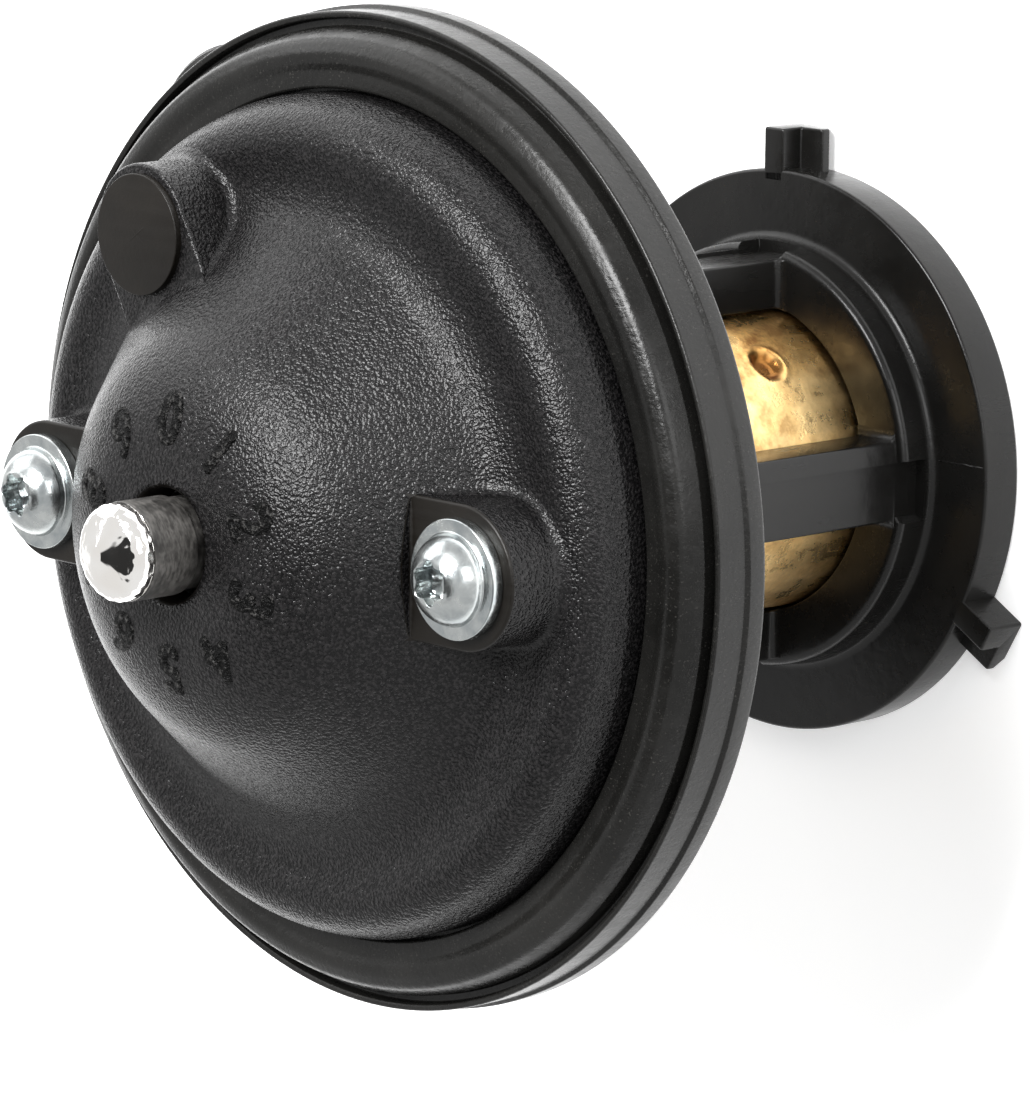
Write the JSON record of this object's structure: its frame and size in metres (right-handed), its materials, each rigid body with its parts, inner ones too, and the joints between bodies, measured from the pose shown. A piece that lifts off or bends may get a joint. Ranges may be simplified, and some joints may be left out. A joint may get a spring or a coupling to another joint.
{
  "type": "engine thermostat",
  "caption": "Engine coolant valve insert: a wax capsule in a windowed cage with a bayonet flange, a domed cover, a rubber valve ring and a sprung piston.",
  "frame": {"origin": "centre of the rear face of the bayonet flange, on the valve's axis", "axes": "+Z along the valve's axis towards the piston's nose; +X through the right-hand cover screw and +Y through the top bayonet lug, as seen from the nose"},
  "size_m": [0.0866, 0.0866, 0.0841],
  "materials": {
    "cover_plastic": "fine spark grain, glass filled",
    "cage_plastic": "smooth as moulded, glass filled",
    "sleeve_plastic": "satin",
    "ring_rubber": "moulded, dusty",
    "inner_rubber": "moulded",
    "zinc_steel": "blue passivated zinc plate",
    "polished_steel": "polished",
    "spring_steel": "bright drawn",
    "capsule_brass": "tarnished, lightly tumbled",
    "wax": "waxy",
    "white_plastic": "low friction"
  },
  "bodies": {
    "housing": {"front_cover": "cover_plastic", "cover_screw_left": "zinc_steel", "cover_screw_right": "zinc_steel", "seal_ring": "ring_rubber", "cage": "cage_plastic", "wax_capsule": "capsule_brass", "wax_charge": "wax", "diaphragm": "inner_rubber", "elastomer_plug": "inner_rubber", "piston_guide": "capsule_brass", "piston_seal": "inner_rubber", "capsule_gasket": "inner_rubber", "snap_ring": "spring_steel", "spring_washer": "spring_steel", "return_spring": "spring_steel"},
    "plunger": {"piston": "polished_steel", "piston_sleeve": "sleeve_plastic", "piston_clip": "spring_steel", "spring_seat": "spring_steel", "backup_disc": "white_plastic"}
  },
  "joints": [
    {"name": "piston_slide", "type": "slide", "parent": "housing", "child": "plunger", "axis": [0, 0, 1], "range_m": [0, 0.008], "stiffness_N_per_m": 4000, "springref_m": -0.004, "deforming": ["return_spring"]}
  ]
}
